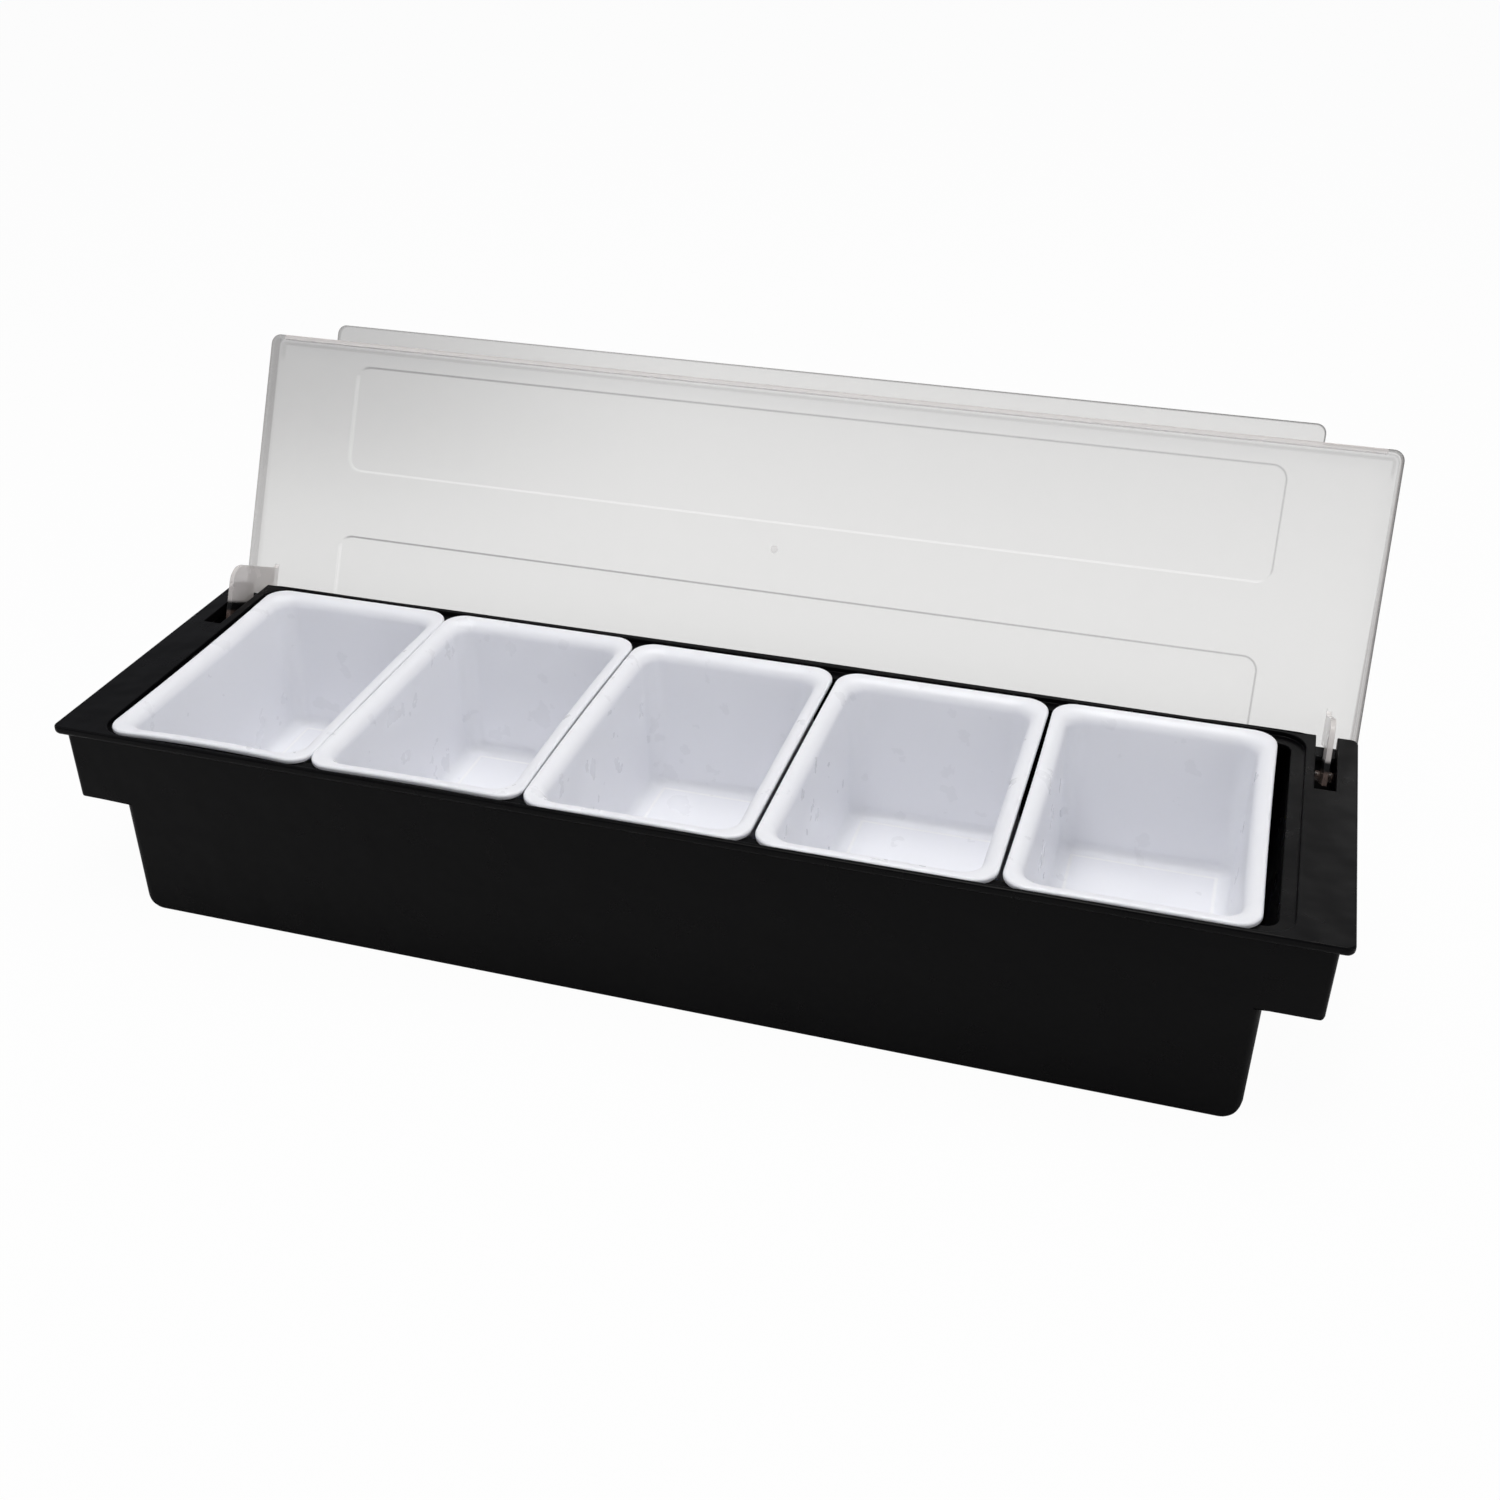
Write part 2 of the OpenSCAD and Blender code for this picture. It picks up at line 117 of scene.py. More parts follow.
class CaddyFinish(bpy.types.PropertyGroup):
    """Colours and gloss of the plastics"""
    housing: colour("Housing", "Colour of the housing", (0.0014, 0.0013, 0.0016, 1.0))
    housing_rough: share("Housing roughness", "Roughness of the housing", 0.3)
    pan: colour("Pans", "Colour of the pans", (0.9, 0.908, 0.95, 1.0))
    pan_rough: share("Pan roughness", "Roughness of the pans", 0.3)
    lid: colour("Lid", "Colour of the lid", (0.585, 0.57, 0.545, 1.0))
    # painted shade: the colour the lid is darkened to at its left end and its front edge
    lid_painted_shade: colour("Lid smoke", "Colour of the smoky end of the lid", (0.2, 0.195, 0.19, 1.0))
    # painted shade: the darker colour painted where the lid is seen edge on
    lid_edge_shade: colour("Lid edge", "Colour of the lid where it is seen edge on",
                     (0.28, 0.235, 0.225, 1.0))
    lid_rough: share("Lid roughness", "Roughness of the lid", 0.22)
    lid_alpha: share("Lid cover", "How much of what is behind a face of the lid it hides", 0.2)
    housing_edge: length("Housing edge", "Rounding of the housing's edges", 0.35 * MM)
    lid_round: length("Lid rounding", "Rounding of the lid's edges", 0.16 * MM)


class CaddyStage(bpy.types.PropertyGroup):
    """Camera and light"""
    camera: FloatVectorProperty(
        name="Camera", description="Place of the camera", size=3, subtype="TRANSLATION",
        unit="LENGTH", default=(0.18858, -0.5618, RIM_Z + 0.34902))
    azimuth: FloatProperty(
        name="Azimuth", description="Turn of the camera about +Z", subtype="ANGLE",
        default=math.radians(16.70))
    elevation: FloatProperty(
        name="Elevation", description="Height of the camera above the horizon", subtype="ANGLE",
        default=math.radians(31.06))
    roll: FloatProperty(
        name="Roll", description="Roll of the camera", subtype="ANGLE",
        default=math.radians(0.15))
    lens: FloatProperty(
        name="Lens", description="Focal length on a 36 mm sensor", unit="CAMERA", default=41.974)
    floor: colour("Floor", "Colour of the floor", (0.8, 0.8, 0.8, 1.0))
    shadow: share("Shadow", "How strongly the floor shows the object's shadow", 0.035)
    sky: share("Sky", "Strength of the even light overhead", 0.24)
    horizon: share("Horizon", "Strength of the light near the horizon", 0.72, 2.0)
    top_light: power("Top light", "Power of the lamp overhead", 9.5)
    side_light: power("Side light", "Power of the lamp on the right", 3.2)
    left_light: power("Left light", "Power of the lamp on the left", 2.0)
    back_light: power("Back light", "Power of the lamp behind", 0.4)


# ---- mesh helpers ----

CORNER_STEPS = 10
SIDE_STEPS = 12
ARC_STEPS = 6


def ring(centre_x, centre_y, radius, z):
    """A closed outline of a rectangle with round corners, counter-clockwise."""
    points = []
    signs = ((1, 1), (-1, 1), (-1, -1), (1, -1))
    for quarter, (sx, sy) in enumerate(signs):
        for step in range(CORNER_STEPS + 1):
            turn = math.pi / 2 * (quarter + step / CORNER_STEPS)
            points.append(Vector((
                sx * centre_x + radius * math.cos(turn),
                sy * centre_y + radius * math.sin(turn), z)))
        start = points[-1]
        nx, ny = signs[(quarter + 1) % 4]
        turn = math.pi / 2 * (quarter + 1)
        end = Vector((
            nx * centre_x + radius * math.cos(turn),
            ny * centre_y + radius * math.sin(turn), z))
        for step in range(1, SIDE_STEPS):
            points.append(start.lerp(end, step / SIDE_STEPS))
    return points


def arc(centre, radius, start, stop, steps=ARC_STEPS):
    """Points (outward, up) on an arc between two angles in degrees."""
    points = []
    for step in range(steps + 1):
        turn = math.radians(start + (stop - start) * step / steps)
        points.append((centre[0] + radius * math.cos(turn), centre[1] + radius * math.sin(turn)))
    return points


def loft(name, rings):
    """A closed mesh through a row of outlines with equal numbers of points."""
    mesh = bmesh.new()
    loops = [[mesh.verts.new(point) for point in outline] for outline in rings]
    count = len(loops[0])
    for lower, upper in zip(loops, loops[1:]):
        for i in range(count):
            j = (i + 1) % count
            mesh.faces.new((lower[i], lower[j], upper[j], upper[i]))
    mesh.faces.new(reversed(loops[0]))
    mesh.faces.new(loops[-1])
    bmesh.ops.recalc_face_normals(mesh, faces=mesh.faces)
    data = bpy.data.meshes.new(name)
    mesh.to_mesh(data)
    mesh.free()
    for face in data.polygons:
        face.use_smooth = True
    piece = bpy.data.objects.new(name, data)
    bpy.context.scene.collection.objects.link(piece)
    return piece


def weighted(piece):
    """Keeps flat faces flat beside their roundings."""
    modifier = piece.modifiers.new("weighted_normals", "WEIGHTED_NORMAL")
    modifier.keep_sharp = True
    modifier.weight = 100


MERGE_REACH = 0.01 * MM
FLAT_ANGLE = math.radians(0.6)
SHARP_ANGLE = math.radians(30.0)
BEVEL_STEPS = 2


def soften(piece, width):
    """Rounds the moulded edges of a CAD node."""
    weld = piece.modifiers.new("joined_points", "WELD")
    weld.merge_threshold = MERGE_REACH
    flat = piece.modifiers.new("flat_faces", "DECIMATE")
    flat.decimate_type = "DISSOLVE"
    flat.angle_limit = FLAT_ANGLE
    bevel = piece.modifiers.new("moulded_edges", "BEVEL")
    bevel.width = width
    bevel.segments = BEVEL_STEPS
    bevel.limit_method = "ANGLE"
    bevel.angle_limit = SHARP_ANGLE
    bevel.use_clamp_overlap = False
    bevel.harden_normals = False
    for face in piece.data.polygons:
        face.use_smooth = True
    weighted(piece)


# ---- materials ----

def new_material(name):
    material = bpy.data.materials.new(name)
    material.use_nodes = True
    nodes = material.node_tree.nodes
    nodes.clear()
    output = nodes.new("ShaderNodeOutputMaterial")
    shader = nodes.new("ShaderNodeBsdfPrincipled")
    material.node_tree.links.new(shader.outputs["BSDF"], output.inputs["Surface"])
    return material, shader


def wire(tree, socket, value):
    """Links a socket to another one, or sets it to a number or a vector."""
    if isinstance(value, bpy.types.NodeSocket):
        tree.links.new(value, socket)
    else:
        socket.default_value = value


def sums(tree, operation, *values):
    """A number worked out from other numbers."""
    node = tree.nodes.new("ShaderNodeMath")
    node.operation = operation
    for socket, value in zip(node.inputs, values):
        wire(tree, socket, value)
    return node.outputs["Value"]


def vectors(tree, operation, *values):
    """A vector, or its length or product, worked out from other vectors."""
    node = tree.nodes.new("ShaderNodeVectorMath")
    node.operation = operation
    for socket, value in zip(node.inputs, values):
        wire(tree, socket, value)
    measured = operation in ("DOT_PRODUCT", "LENGTH")
    return node.outputs["Value" if measured else "Vector"]


def smooth(tree, value, start, stop, low=0.0, high=1.0):
    """Goes softly from low to high while a value goes from start to stop."""
    ramp = tree.nodes.new("ShaderNodeMapRange")
    ramp.interpolation_type = "SMOOTHSTEP"
    wire(tree, ramp.inputs["Value"], value)
    for name, number in zip(("From Min", "From Max", "To Min", "To Max"),
                            (start, stop, low, high)):
        ramp.inputs[name].default_value = number
    return ramp.outputs["Result"]


def blend_colour(tree, amount, first, second):
    """Blends two colours, from the first at 0 to the second at 1."""
    mix = tree.nodes.new("ShaderNodeMix")
    mix.data_type = "RGBA"
    for name, value in (("Factor", amount), ("A", first), ("B", second)):
        wire(tree, next(socket for socket in mix.inputs if socket.name == name
                        and socket.enabled), value)
    return next(socket for socket in mix.outputs if socket.enabled)


def noise(tree, scale, detail=3.0, roughness=0.5):
    place = tree.nodes.new("ShaderNodeTexCoord")
    texture = tree.nodes.new("ShaderNodeTexNoise")
    texture.inputs["Scale"].default_value = scale
    texture.inputs["Detail"].default_value = detail
    texture.inputs["Roughness"].default_value = roughness
    tree.links.new(place.outputs["Object"], texture.inputs["Vector"])
    return texture.outputs["Fac"]


def spread(tree, value, low, high, dark=0.3, light=0.7):
    """Maps a noise value to a range of roughness."""
    ramp = tree.nodes.new("ShaderNodeMapRange")
    ramp.inputs["From Min"].default_value = dark
    ramp.inputs["From Max"].default_value = light
    ramp.inputs["To Min"].default_value = low
    ramp.inputs["To Max"].default_value = high
    tree.links.new(value, ramp.inputs["Value"])
    return ramp.outputs["Result"]


def bump(tree, value, strength, distance, under=None):
    node = tree.nodes.new("ShaderNodeBump")
    node.inputs["Strength"].default_value = strength
    node.inputs["Distance"].default_value = distance
    tree.links.new(value, node.inputs["Height"])
    if under is not None:
        tree.links.new(under, node.inputs["Normal"])
    return node.outputs["Normal"]


def scaled(colour_value, factor):
    return tuple(channel * factor for channel in colour_value[:3]) + (colour_value[3],)


def housing_plastic(finish):
    material, shader = new_material("black_plastic")
    tree = material.node_tree
    link = tree.links.new
    shader.inputs["Specular IOR Level"].default_value = 0.09
    shader.inputs["IOR"].default_value = 1.5
    base = tuple(finish.housing)
    even = blend_colour(tree, noise(tree, 35.0), scaled(base, 0.85), scaled(base, 1.2))
    link(even, shader.inputs["Base Color"])
    rough = finish.housing_rough
    link(spread(tree, noise(tree, 60.0, 4.0), rough - 0.05, rough + 0.08),
         shader.inputs["Roughness"])
    slow = bump(tree, noise(tree, 42.0, 2.0), 0.7, 1.0 * MM)
    link(bump(tree, noise(tree, 1400.0, 2.0), 0.12, 0.02 * MM, slow), shader.inputs["Normal"])
    return material


# painted highlight: the light line round the raised panel in a pan's floor
FOLD_HIGHLIGHT = (0.97, 0.975, 0.985, 1.0)


def pan_plastic(finish):
    material, shader = new_material("white_plastic")
    tree = material.node_tree
    link = tree.links.new
    shader.inputs["Specular IOR Level"].default_value = 0.4
    shader.inputs["Subsurface Weight"].default_value = 0.08
    shader.inputs["Subsurface Radius"].default_value = (2.0 * MM, 2.0 * MM, 2.2 * MM)
    shader.inputs["Subsurface Scale"].default_value = 1.0
    base = tuple(finish.pan)
    fold = tree.nodes.new("ShaderNodeAttribute")
    fold.attribute_name = "fold"
    even = blend_colour(tree, noise(tree, 25.0), scaled(base, 0.985), base)
    # painted highlight along the edge of the floor panel
    link(blend_colour(tree, fold.outputs["Fac"], even, FOLD_HIGHLIGHT),
         shader.inputs["Base Color"])
    rough = finish.pan_rough
    link(spread(tree, noise(tree, 80.0, 4.0), rough - 0.04, rough + 0.06),
         shader.inputs["Roughness"])
    return material


# middle of a sunk panel from the hinge axis, its half sizes and its corner radius (mm),
# and how strongly the painted shade and highlight on its step show
LID_PANELS = ((96.0, 205.6, 23.5, 6.0, 0.75), (23.25, 205.6, 19.1, 6.0, 1.0))

# the lid's plate and its finger lip, in the same way and without the last number
LID_PLATE = (59.25, 248.2, 70.45, 4.5)
LID_LIP = (110.0, 217.7, 27.3, 4.0)
# where the painted line of a step starts to fade and ends, and the side that the painted light
# comes from
STEP_LINE = (0.18 * MM, 0.65 * MM)
STEP_LIGHT = (0.8, 1.0, 0.0)
# painted shade for the line inside the lid's outline
OUTLINE_SHADE = (0.1, 0.092, 0.09, 1.0)
# painted shade on the step's sides turned away from that light, painted highlight on those
# turned to it
STEP_SHADE = (0.06, 0.06, 0.065, 1.0)
STEP_HIGHLIGHT = (0.95, 0.95, 0.94, 1.0)
# an ear is painted pale above the rim, with a painted shadow round its peg inside the slot and
# painted light from beneath, tan, below that
EAR_PALE = (0.72, 0.68, 0.66, 1.0)
EAR_SHADOW = (0.01, 0.01, 0.01, 1.0)
EAR_GLOW = (0.16, 0.115, 0.1, 1.0)


def past_core(tree, flat, middle, half_x, half_y, radius):
    """The way from a rectangle's middle, and how far it goes past where its corners start."""
    offset = vectors(tree, "SUBTRACT", flat, (0.0, middle * MM, 0.0))
    core = ((half_x - radius) * MM, (half_y - radius) * MM, 1.0)
    past = vectors(tree, "SUBTRACT", vectors(tree, "ABSOLUTE", offset), core)
    return offset, vectors(tree, "MAXIMUM", past, (0.0, 0.0, 0.0))


def rounded_distance(tree, past, radius):
    """How far a place lies outside a rectangle with round corners, less than 0 inside it."""
    return sums(tree, "SUBTRACT", vectors(tree, "LENGTH", past), radius * MM)


def plate_distance(tree, flat, plate):
    past = past_core(tree, flat, *plate)[1]
    return rounded_distance(tree, past, plate[-1])


def panel_step(tree, flat, panel):
    """The step round a sunk panel: how near it is, and whether it faces the side the painted
    light comes from.
    """
    *shape, strength = panel
    offset, past = past_core(tree, flat, *shape)
    distance = rounded_distance(tree, past, shape[-1])
    near = smooth(tree, sums(tree, "ABSOLUTE", distance),
                  STEP_LINE[0], STEP_LINE[1], strength, 0.0)
    way = vectors(tree, "NORMALIZE", vectors(tree, "MULTIPLY", past,
                                             vectors(tree, "SIGN", offset)))
    side = vectors(tree, "DOT_PRODUCT", way, STEP_LIGHT)
    return near, side


def lid_plastic(finish):
    material, shader = new_material("clear_plastic")
    tree = material.node_tree
    link = tree.links.new
    shader.inputs["Specular IOR Level"].default_value = 0.4
    place = tree.nodes.new("ShaderNodeTexCoord")
    spot = place.outputs["Object"]
    split = tree.nodes.new("ShaderNodeSeparateXYZ")
    link(spot, split.inputs["Vector"])
    along_x = split.outputs["X"]
    up = vectors(tree, "DOT_PRODUCT", vectors(tree, "SUBTRACT", spot, HINGE), LID_ALONG)
    flat = tree.nodes.new("ShaderNodeCombineXYZ")
    link(along_x, flat.inputs["X"])
    link(up, flat.inputs["Y"])
    flat = flat.outputs["Vector"]

    # painted shade: the lid darker and less clear towards its left end and its front edge, where
    # less light falls, with random mottling on top
    left = sums(tree, "MULTIPLY", smooth(tree, along_x, -1.05 * LID_HALF, -0.1 * LID_HALF,
                                         0.68, 0.0),
                smooth(tree, up, 0.0, LID_FRONT, 0.25, 1.0))
    front = smooth(tree, up, 0.3 * LID_FRONT, LID_FRONT, 0.0, 0.3)
    painted_shade = sums(tree, "MINIMUM", sums(tree, "ADD", left, front), 1.0)
    shade_and_mottle = sums(tree, "ADD", painted_shade, sums(tree, "MULTIPLY", noise(tree, 9.0), 0.08))
    base = blend_colour(tree, shade_and_mottle, tuple(finish.lid), tuple(finish.lid_painted_shade))
    cover = smooth(tree, painted_shade, 0.0, 1.0, finish.lid_alpha, finish.lid_alpha + 0.12)

    # painted shade where the lid's faces are seen edge on, on its skirts and sides, weaker
    # towards the left and left off the ears
    facing = sums(tree, "ABSOLUTE", vectors(tree, "DOT_PRODUCT", place.outputs["Normal"],
                                            LID_OUT))
    edge_on = smooth(tree, facing, 0.35, 0.85, 1.0, 0.0)
    away = sums(tree, "ABSOLUTE", along_x)
    out = vectors(tree, "DOT_PRODUCT", vectors(tree, "SUBTRACT", spot, HINGE), LID_OUT)
    under = smooth(tree, out, 16.9 * MM, 17.3 * MM, 1.0, 0.0)
    ear = sums(tree, "MULTIPLY", under, smooth(tree, away, LID_HALF - 7.0 * MM,
                                               LID_HALF - 6.0 * MM, 1.0, 0.0))
    # painted shade: a dark line inside the outline of the plate and its finger lip, stronger
    # towards the right, and dark bands where the skirt is seen through the plate and along the
    # sides
    plate = plate_distance(tree, flat, LID_PLATE)
    lip = plate_distance(tree, flat, LID_LIP)
    inside = sums(tree, "MINIMUM", plate, lip)
    outline = sums(tree, "MULTIPLY", smooth(tree, inside, -0.7 * MM, -0.25 * MM),
                   smooth(tree, along_x, -LID_HALF, LID_HALF, 0.45, 1.0))
    skirt = smooth(tree, sums(tree, "ABSOLUTE", sums(tree, "ADD", plate, 3.2 * MM)),
                   0.2 * MM, 1.1 * MM, 0.3, 0.0)
    skirt = sums(tree, "MULTIPLY", skirt, smooth(tree, up, 0.9 * LID_FRONT, 0.94 * LID_FRONT))
    taper = smooth(tree, up, 0.0, LID_FRONT, -0.6 * MM, 0.9 * MM)
    side_wall = smooth(tree, sums(tree, "SUBTRACT", away, taper),
                       LID_HALF - 2.6 * MM, LID_HALF - 1.7 * MM)
    side_wall = sums(tree, "MULTIPLY", side_wall,
                     smooth(tree, along_x, -0.9 * LID_HALF, 0.9 * LID_HALF, 0.2, 0.8))
    wall = sums(tree, "MAXIMUM", side_wall, skirt)
    rim = sums(tree, "SUBTRACT", edge_on, ear)
    rim = sums(tree, "MULTIPLY", rim, smooth(tree, along_x, -LID_HALF, 0.0, 0.35, 0.8))
    rim = sums(tree, "MAXIMUM", rim, wall)
    base = blend_colour(tree, rim, base, tuple(finish.lid_edge_shade))
    base = blend_colour(tree, outline, base, OUTLINE_SHADE)
    # the ear's painted shadow inside the slot and painted light from beneath below it
    ear_light_and_shade = blend_colour(tree, smooth(tree, up, 6.0 * MM, 8.0 * MM, 1.0, 0.0),
                            EAR_PALE, EAR_SHADOW)
    ear_light_and_shade = blend_colour(tree, smooth(tree, up, 2.0 * MM, 3.5 * MM, 1.0, 0.0),
                            ear_light_and_shade, EAR_GLOW)
    base = blend_colour(tree, ear, base, ear_light_and_shade)
    # the painted shade, the painted outline and the ears' painted light and shade also hide more
    # of what is behind
    cover = sums(tree, "ADD", cover, sums(tree, "MULTIPLY", rim, 0.22))
    cover = sums(tree, "ADD", cover, sums(tree, "MULTIPLY", outline, 0.3))
    cover = sums(tree, "ADD", cover, sums(tree, "MULTIPLY", ear, 0.45))

    for panel in LID_PANELS:
        near, side = panel_step(tree, flat, panel)
        # painted shade on the step's side turned from the light, weaker towards the right, and
        # painted highlight on the side turned to it
        dark = sums(tree, "MULTIPLY", near, smooth(tree, side, 0.05, 0.8, 0.0, 0.8))
        dark = sums(tree, "MULTIPLY", dark, smooth(tree, along_x, -LID_HALF, LID_HALF, 1.0, 0.6))
        light = sums(tree, "MULTIPLY", near, smooth(tree, side, -0.05, -0.8))
        base = blend_colour(tree, dark, base, STEP_SHADE)
        light = sums(tree, "MULTIPLY", light, 0.5)
        base = blend_colour(tree, light, base, STEP_HIGHLIGHT)
        cover = sums(tree, "ADD", cover, sums(tree, "MULTIPLY", dark, 0.25))
        cover = sums(tree, "SUBTRACT", cover, sums(tree, "MULTIPLY", light, 0.12))
    link(base, shader.inputs["Base Color"])
    link(cover, shader.inputs["Alpha"])

    rough = finish.lid_rough
    link(spread(tree, noise(tree, 50.0, 4.0), rough - 0.04, rough + 0.08),
         shader.inputs["Roughness"])
    slow = bump(tree, noise(tree, 9.0, 2.0), 0.15, 0.5 * MM)
    link(bump(tree, noise(tree, 900.0, 2.0), 0.05, 0.015 * MM, slow), shader.inputs["Normal"])
    return material


def seen_straight(tree):
    """1 for what the camera sees, also through the clear lid, and 0 for light on the object."""
    path = tree.nodes.new("ShaderNodeLightPath")
    return sums(tree, "MAXIMUM", path.outputs["Is Camera Ray"],
                path.outputs["Is Transmission Ray"])


def floor_paint(stage):
    """A pale floor that shows white to the camera and keeps a soft shadow."""
    material = bpy.data.materials.new("pale_floor")
    material.use_nodes = True
    tree = material.node_tree
    tree.nodes.clear()
    output = tree.nodes.new("ShaderNodeOutputMaterial")
    matt = tree.nodes.new("ShaderNodeBsdfDiffuse")
    matt.inputs["Color"].default_value = tuple(stage.floor)
    white = tree.nodes.new("ShaderNodeEmission")
    seen = tree.nodes.new("ShaderNodeMixShader")
    seen.inputs["Fac"].default_value = 1.0 - stage.shadow
    shown = tree.nodes.new("ShaderNodeMixShader")
    link = tree.links.new
    link(matt.outputs["BSDF"], seen.inputs[1])
    link(white.outputs["Emission"], seen.inputs[2])
    link(seen_straight(tree), shown.inputs["Fac"])
    link(matt.outputs["BSDF"], shown.inputs[1])
    link(seen.outputs["Shader"], shown.inputs[2])
    link(shown.outputs["Shader"], output.inputs["Surface"])
    return material


# ---- the pieces ----

# how each pan lies in its seat: moved along the row and to the back (mm), turned (degrees),
# and how far its left, right and front side bow in (mm)
PAN_FITS = (
    (-0.3, 0.8, 0.2, 1.3, 0.6, 2.3),
    (-1.1, 1.2, 0.15, 0.0, 1.1, 1.0),
    (-1.25, -0.2, 0.05, -0.8, 0.1, 0.8),
    (-0.3, -0.3, 0.0, -0.2, 0.0, 0.2),
    (0.15, 0.2, 0.0, 0.65, 0.4, 0.4),
)


LEAST_RADIUS = 0.2 * MM
PANEL_SLOPE = 0.25 * MM
PANEL_MARGIN = 0.9 * MM


def pan_rings(pans, low, high):
    """Outlines of one pan from under its floor, round its rim and down to its floor."""
    top = high.z
    seat = top - pans.rim
    centre = (low + high) / 2
    half_x = (high.x - low.x) / 2
    half_y = (high.y - low.y) / 2
    cup_x = half_x - pans.band - pans.flare - pans.corner
    cup_y = half_y - pans.band - pans.flare - pans.corner
    rim_x = half_x - pans.rim_radius
    rim_y = half_y - pans.rim_radius
    outer = pans.corner + pans.wall
    outer_low = outer - pans.draft
    inner_low = pans.corner - pans.draft
    floor = low.z + pans.wall
    heel = pans.foot + pans.wall
    small = 0.5 * MM
    cup, rim, inside = [], [], []
    cup.append((outer_low - heel + small, low.z))
    cup += arc((outer_low - heel, low.z + heel), heel, -84, 0)
    cup.append((outer - 0.2 * MM, seat - 4.0 * MM))
    cup.append((outer + 0.25 * MM, seat))
    rim += arc((pans.rim_radius - small, seat + small), small, -90, 0, 3)
    rim += arc((pans.rim_radius - pans.edge, top - pans.edge), pans.edge, 0, 90)
    inside += arc((pans.corner + pans.flare, top - pans.flare), pans.flare, 90, 180)
    inside += arc((inner_low - pans.foot, floor + pans.foot), pans.foot, 0, -80)
    panel = inner_low - pans.foot
    inside.append((panel + PANEL_SLOPE, floor + 0.03 * MM))
    inside.append((panel - PANEL_SLOPE, floor + pans.panel))
    rings = [ring(cup_x, cup_y, max(r, LEAST_RADIUS), z) for r, z in cup]
    rings += [ring(rim_x, rim_y, r, z) for r, z in rim]
    for radius, z in inside:
        tuck = pans.tuck * min(1.0, max(0.0, 1.0 - (z - floor) / pans.foot))
        rings.append(ring(cup_x, cup_y + tuck, max(radius, LEAST_RADIUS), z))
    flat = inside[-1][1]
    rings.append(ring(cup_x - PANEL_MARGIN, cup_y + pans.tuck - PANEL_MARGIN,
                      LEAST_RADIUS, flat))
    # the rings at the floor panel's edge carry the painted highlight
    fold_highlights = [0.0] * (len(rings) - 3) + [1.0, 1.0, 0.0]
    for outline in rings:
        for point in outline:
            point.x += centre.x
            point.y += centre.y
    return rings, fold_highlights, centre, half_x, half_y


class CADDY_OT_pans(bpy.types.Operator):
    """Builds the white lift-out pans in the places of the CAD pans"""
    bl_idname = "caddy.pans"
    bl_label = "Pans"

    def execute(self, context):
        pans = context.scene.caddy_pans
        material = pan_plastic(context.scene.caddy_finish)
        for index in range(PAN_COUNT):
            node = f"insert_{index + 1}"
            low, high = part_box(node)
            rings, fold_highlights, centre, half_x, half_y = pan_rings(pans, low, high)
            piece = loft(f"pan_{index + 1}_white", rings)
            fold = piece.data.attributes.new("fold", "FLOAT", "POINT")
            marks = [mark for mark, outline in zip(fold_highlights, rings) for _ in outline]
            fold.data.foreach_set("value", marks)
            shift_x, shift_y, turn, bow_left, bow_right, bow_front = PAN_FITS[index]
            for vertex in piece.data.vertices:
                x = (vertex.co.x - centre.x) / half_x
                y = (vertex.co.y - centre.y) / half_y
                bow = bow_right if x > 0 else bow_left
                vertex.co.x -= bow * MM * x * max(0.0, 1.0 - y * y)
                if y < 0:
                    vertex.co.y -= bow_front * MM * y * max(0.0, 1.0 - x * x)
            turned = Matrix.Rotation(math.radians(turn), 3, "Z")
            for vertex in piece.data.vertices:
                flat = Vector((vertex.co.x - centre.x, vertex.co.y - centre.y, 0.0))
                flat = turned @ flat
                vertex.co.x = centre.x + flat.x + shift_x * MM
                vertex.co.y = centre.y + flat.y + shift_y * MM
            piece.data.materials.append(material)
            weighted(piece)
            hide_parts(node)
            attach(piece, f"pan_{index + 1}")
        return {"FINISHED"}


class CADDY_OT_housing(bpy.types.Operator):
    """Gives the housing its rounded edges and black plastic"""
    bl_idname = "caddy.housing"
    bl_label = "Housing"

    def execute(self, context):
        finish = context.scene.caddy_finish
        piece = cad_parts["housing"]
        piece.data.materials.clear()
        piece.data.materials.append(housing_plastic(finish))
        soften(piece, finish.housing_edge)
        return {"FINISHED"}


class CADDY_OT_lid(bpy.types.Operator):
    """Gives the lid its rounded edges and clear plastic"""
    bl_idname = "caddy.lid"
    bl_label = "Lid"

    def execute(self, context):
        finish = context.scene.caddy_finish
        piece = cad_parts["lid"]
        piece.data.materials.clear()
        piece.data.materials.append(lid_plastic(finish))
        soften(piece, finish.lid_round)
        return {"FINISHED"}


# ---- the stage ----

LAMP_TONE = (1.0, 0.99, 0.965)
COOL_TONE = (0.96, 0.96, 1.0)
SKY_TONE = (0.925, 0.94, 1.0, 1.0)
HORIZON_TOP = 0.4
FLOOR_REACH = 8.0
FLOOR_GAP = 0.1 * MM
SENSOR_WIDTH = 36.0
VIEW_END = 50.0
# name, place, where it points, width, depth, its power's setting and its tone
LAMPS = (
    ("top_softbox", (0.05, -0.02, 1.2), (0.0, 0.0, 0.05), 1.2, 0.45, "top_light", LAMP_TONE),
    ("side_softbox", (1.3, -0.6, 0.8), (0.0, 0.0, 0.08), 0.9, 0.9, "side_light", LAMP_TONE),
    ("left_softbox", (-1.2, -0.3, 0.9), (0.0, 0.0, 0.08), 0.8, 0.8, "left_light", COOL_TONE),
    ("back_softbox", (0.4, 1.25, 0.82), (0.22, 0.0, 0.08), 0.3, 0.3, "back_light", LAMP_TONE),
)


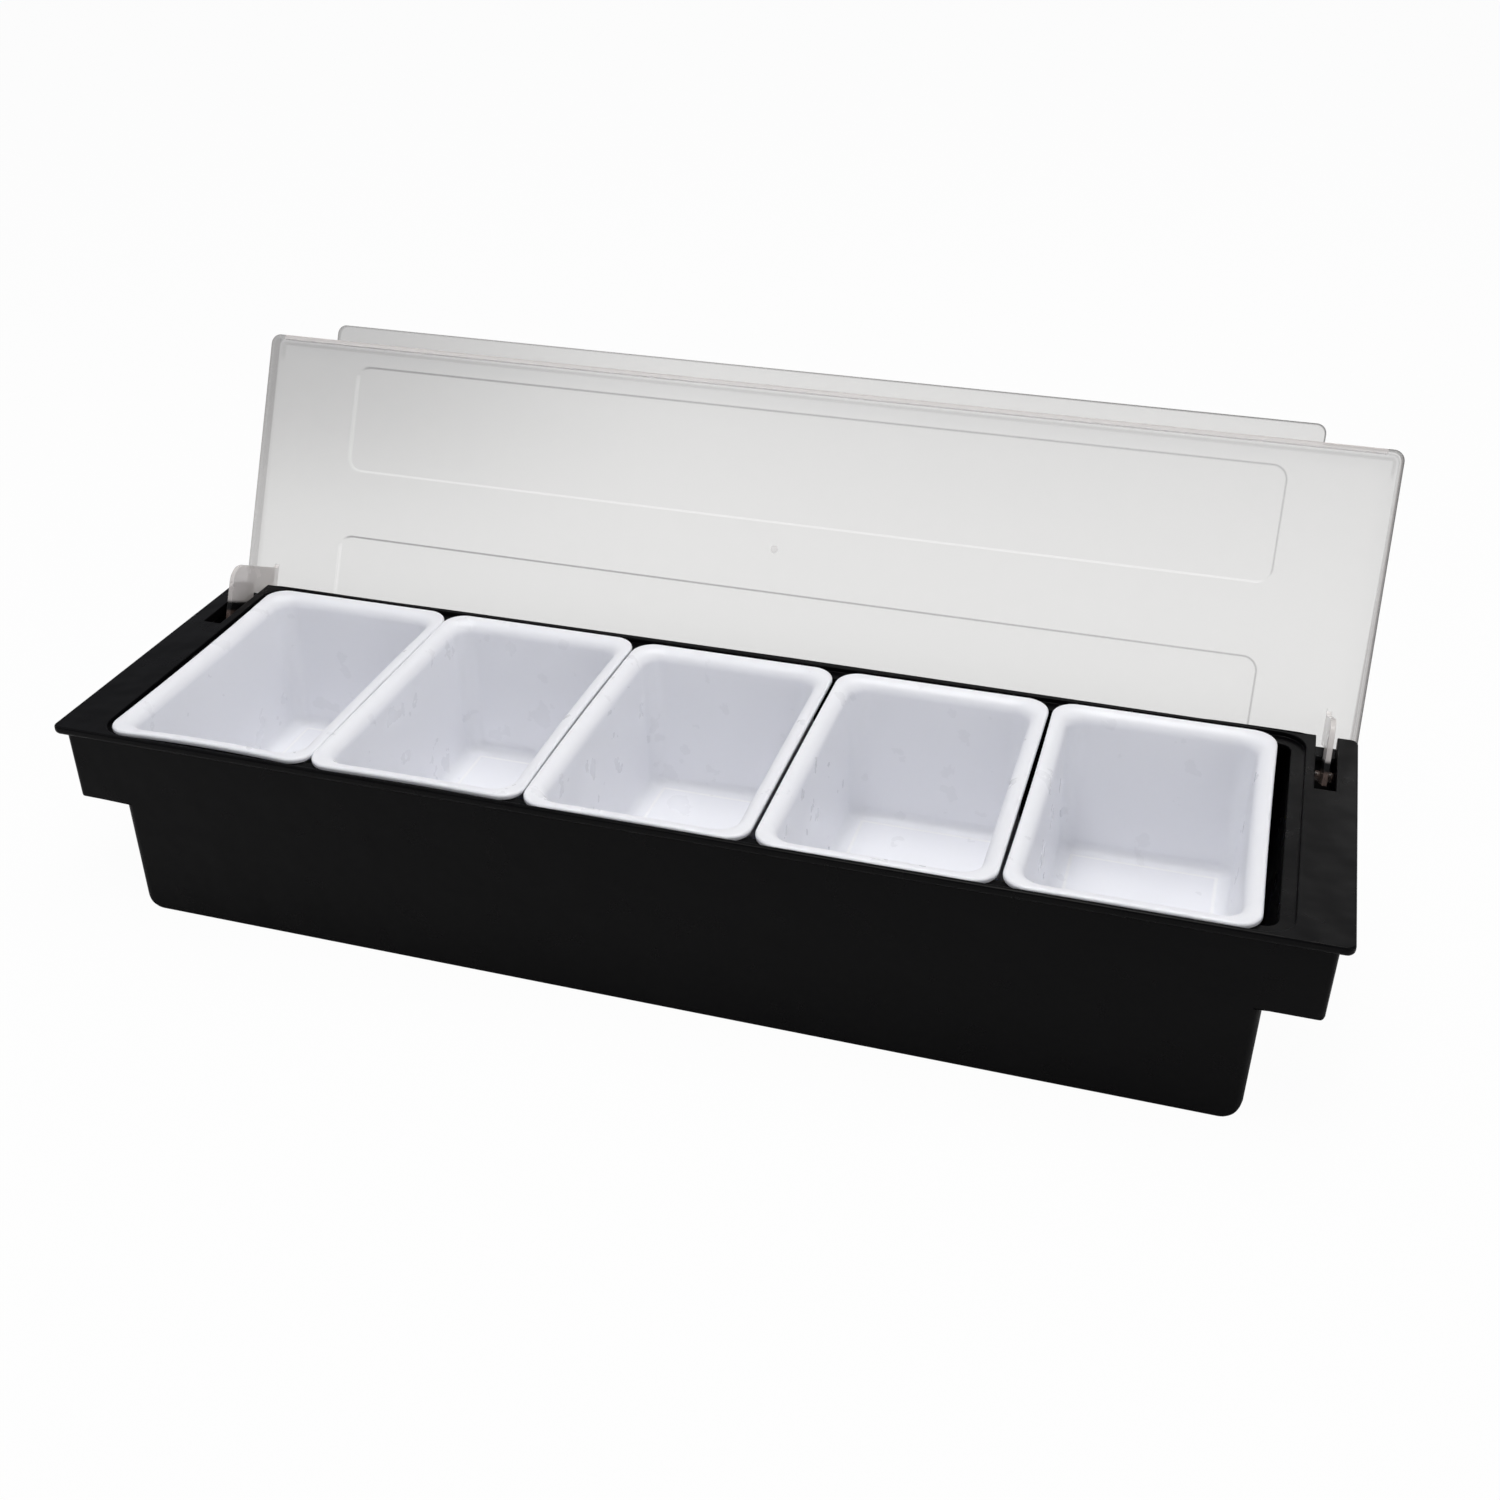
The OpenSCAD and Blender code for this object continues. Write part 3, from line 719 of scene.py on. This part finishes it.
def lamp(name, place, aim, width, depth, energy, tone):
    light = bpy.data.lights.new(name, "AREA")
    light.shape = "RECTANGLE"
    light.size = width
    light.size_y = depth
    light.energy = energy
    light.color = tone
    holder = bpy.data.objects.new(name, light)
    holder.location = place
    direction = Vector(aim) - Vector(place)
    holder.rotation_euler = direction.to_track_quat("-Z", "Y").to_euler()
    bpy.context.scene.collection.objects.link(holder)


def camera_matrix(stage):
    """The camera's turn and place, from its azimuth, elevation and roll."""
    turn, rise, roll = stage.azimuth, stage.elevation, stage.roll
    back = Vector((
        math.sin(turn) * math.cos(rise), -math.cos(turn) * math.cos(rise), math.sin(rise)))
    right = (-back).cross(Vector((0.0, 0.0, 1.0))).normalized()
    up = right.cross(-back)
    right_rolled = right * math.cos(roll) + up * math.sin(roll)
    up_rolled = up * math.cos(roll) - right * math.sin(roll)
    rows = Matrix((right_rolled, up_rolled, back)).transposed().to_4x4()
    rows.translation = Vector(stage.camera)
    return rows


def studio_world(stage):
    """A plain background, with light that is brighter near the horizon than overhead."""
    world = bpy.data.worlds.new("studio")
    world.use_nodes = True
    tree = world.node_tree
    tree.nodes.clear()
    output = tree.nodes.new("ShaderNodeOutputWorld")
    even = tree.nodes.new("ShaderNodeBackground")
    even.inputs["Color"].default_value = SKY_TONE
    way = tree.nodes.new("ShaderNodeTexCoord")
    height = tree.nodes.new("ShaderNodeSeparateXYZ")
    white = tree.nodes.new("ShaderNodeBackground")
    mix = tree.nodes.new("ShaderNodeMixShader")
    link = tree.links.new
    link(way.outputs["Generated"], height.inputs["Vector"])
    link(smooth(tree, height.outputs["Z"], 0.0, HORIZON_TOP, stage.horizon, stage.sky),
         even.inputs["Strength"])
    link(seen_straight(tree), mix.inputs["Fac"])
    link(even.outputs["Background"], mix.inputs[1])
    link(white.outputs["Background"], mix.inputs[2])
    link(mix.outputs["Shader"], output.inputs["Surface"])
    return world


class CADDY_OT_stage(bpy.types.Operator):
    """Sets up the camera, the pale floor and the soft light"""
    bl_idname = "caddy.stage"
    bl_label = "Stage"

    def execute(self, context):
        scene = context.scene
        stage = scene.caddy_stage
        data = bpy.data.cameras.new("camera")
        data.sensor_width = SENSOR_WIDTH
        data.lens = stage.lens
        data.clip_end = VIEW_END
        camera = bpy.data.objects.new("camera", data)
        scene.collection.objects.link(camera)
        camera.matrix_world = camera_matrix(stage)
        scene.camera = camera

        mesh = bpy.data.meshes.new("floor")
        reach = FLOOR_REACH
        mesh.from_pydata(
            [(-reach, -reach, 0.0), (reach, -reach, 0.0), (reach, reach, 0.0),
             (-reach, reach, 0.0)], [], [(0, 1, 2, 3)])
        floor = bpy.data.objects.new("floor", mesh)
        floor.location.z = HOUSING_LOW.z - FLOOR_GAP
        mesh.materials.append(floor_paint(stage))
        scene.collection.objects.link(floor)

        for name, place, aim, width, depth, setting, tone in LAMPS:
            lamp(name, place, aim, width, depth, getattr(stage, setting), tone)
        scene.world = studio_world(stage)
        scene.view_settings.view_transform = "Standard"
        return {"FINISHED"}


class CADDY_PT_panel(bpy.types.Panel):
    """Lists the caddy's pieces and settings"""
    bl_idname = "CADDY_PT_panel"
    bl_label = "Condiment Caddy"
    bl_space_type = "VIEW_3D"
    bl_region_type = "UI"
    bl_category = "Caddy"

    def draw(self, context):
        layout = self.layout
        for operator in (CADDY_OT_housing, CADDY_OT_lid, CADDY_OT_pans, CADDY_OT_stage):
            layout.operator(operator.bl_idname)
        for group in (context.scene.caddy_pans, context.scene.caddy_finish,
                      context.scene.caddy_stage):
            box = layout.box()
            for name in group.__annotations__:
                box.prop(group, name)


GROUPS = (("caddy_pans", CaddyPans), ("caddy_finish", CaddyFinish), ("caddy_stage", CaddyStage))
CLASSES = (CaddyPans, CaddyFinish, CaddyStage, CADDY_OT_housing, CADDY_OT_lid, CADDY_OT_pans,
           CADDY_OT_stage, CADDY_PT_panel)


def register():
    for item in CLASSES:
        bpy.utils.register_class(item)
    for name, group in GROUPS:
        setattr(bpy.types.Scene, name, PointerProperty(type=group))


def unregister():
    for name, _ in GROUPS:
        delattr(bpy.types.Scene, name)
    for item in reversed(CLASSES):
        bpy.utils.unregister_class(item)


def main():
    register()
    bpy.ops.caddy.housing()
    bpy.ops.caddy.lid()
    bpy.ops.caddy.pans()
    bpy.ops.caddy.stage()
    bpy.context.view_layer.update()


if __name__ == "__main__":
    main()
